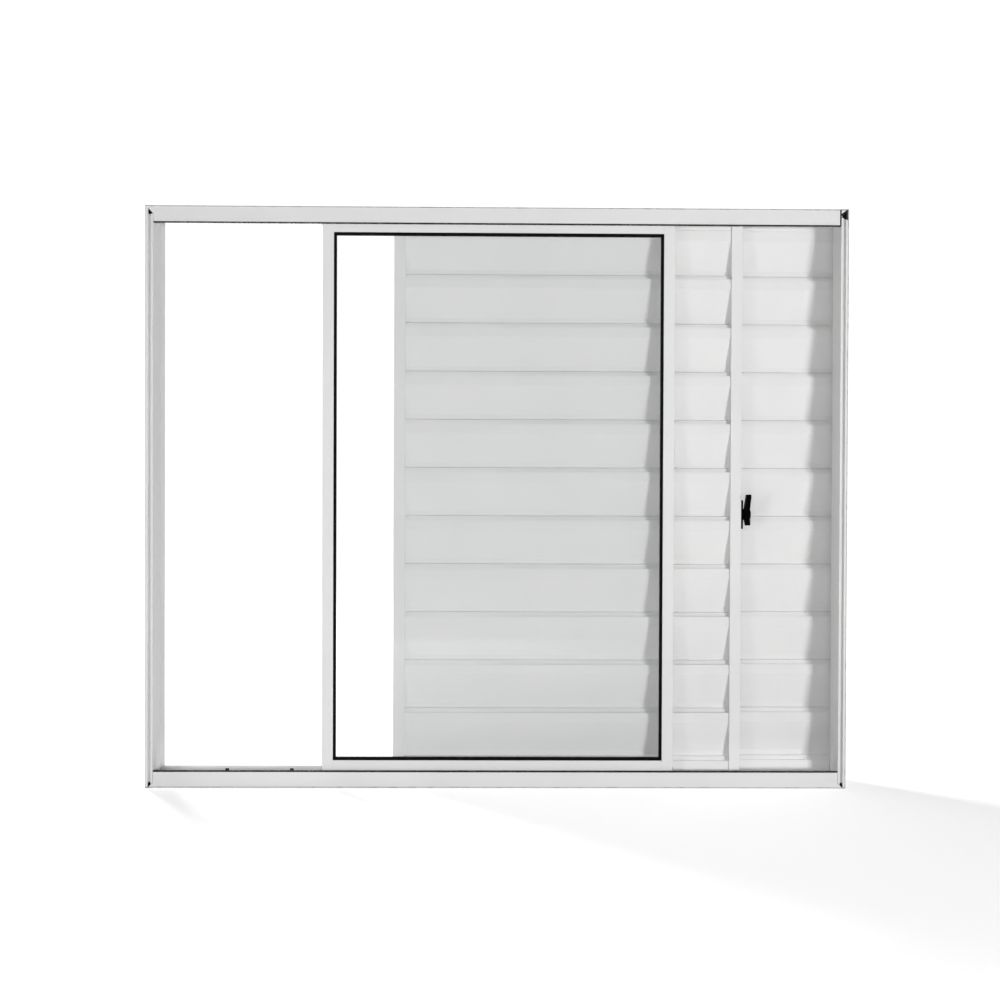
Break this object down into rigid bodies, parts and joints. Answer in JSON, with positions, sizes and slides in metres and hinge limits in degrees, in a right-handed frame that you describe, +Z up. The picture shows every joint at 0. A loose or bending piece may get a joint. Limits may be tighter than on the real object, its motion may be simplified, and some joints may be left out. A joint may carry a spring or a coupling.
{
  "type": "louvred shutter window",
  "caption": "White aluminium sliding window with a glazed sash and two louvred shutter leaves, one sliding and one fixed, in a three-track frame.",
  "frame": {"origin": "bottom centre of the frame, at mid depth, on the underside of the sill", "axes": "+X along the width, to the right seen from the room, +Y from the room to the outside, +Z up"},
  "size_m": [1.2, 0.08, 0.992],
  "materials": {
    "white_aluminium": "white powder coat, satin",
    "clear_glass": "clear float glass",
    "black_gasket": "matt black rubber",
    "dark_pile": "dark woven pile",
    "black_latch": "black moulded plastic, fine grain",
    "roller_nylon": "natural nylon"
  },
  "bodies": {
    "root": {"fixed_shutter_blade_01": "white_aluminium", "fixed_shutter_blade_02": "white_aluminium", "fixed_shutter_blade_03": "white_aluminium", "fixed_shutter_blade_04": "white_aluminium", "fixed_shutter_blade_05": "white_aluminium", "fixed_shutter_blade_06": "white_aluminium", "fixed_shutter_blade_07": "white_aluminium", "fixed_shutter_blade_08": "white_aluminium", "fixed_shutter_blade_09": "white_aluminium", "fixed_shutter_blade_10": "white_aluminium", "fixed_shutter_blade_11": "white_aluminium", "fixed_shutter_bottom_rail": "white_aluminium", "fixed_shutter_left_stile": "white_aluminium", "fixed_shutter_right_channel": "white_aluminium", "fixed_shutter_top_rail": "white_aluminium", "glass_pane": "clear_glass", "glass_sash_bottom_rail": "white_aluminium", "glass_sash_left_stile": "white_aluminium", "glass_sash_right_stile": "white_aluminium", "glass_sash_top_rail": "white_aluminium", "glazing_gasket": "black_gasket", "head_pile_seal": "dark_pile", "head_track": "white_aluminium", "latch_base": "black_latch", "latch_lever": "black_latch", "left_jamb": "white_aluminium", "right_jamb": "white_aluminium", "roller_wheels": "roller_nylon", "sill_pile_seal": "dark_pile", "sill_track": "white_aluminium", "sliding_shutter_blade_01": "white_aluminium", "sliding_shutter_blade_02": "white_aluminium", "sliding_shutter_blade_03": "white_aluminium", "sliding_shutter_blade_04": "white_aluminium", "sliding_shutter_blade_05": "white_aluminium", "sliding_shutter_blade_06": "white_aluminium", "sliding_shutter_blade_07": "white_aluminium", "sliding_shutter_blade_08": "white_aluminium", "sliding_shutter_blade_09": "white_aluminium", "sliding_shutter_blade_10": "white_aluminium", "sliding_shutter_blade_11": "white_aluminium", "sliding_shutter_bottom_rail": "white_aluminium", "sliding_shutter_left_stile": "white_aluminium", "sliding_shutter_right_stile": "white_aluminium", "sliding_shutter_top_rail": "white_aluminium"}
  },
  "joints": []
}
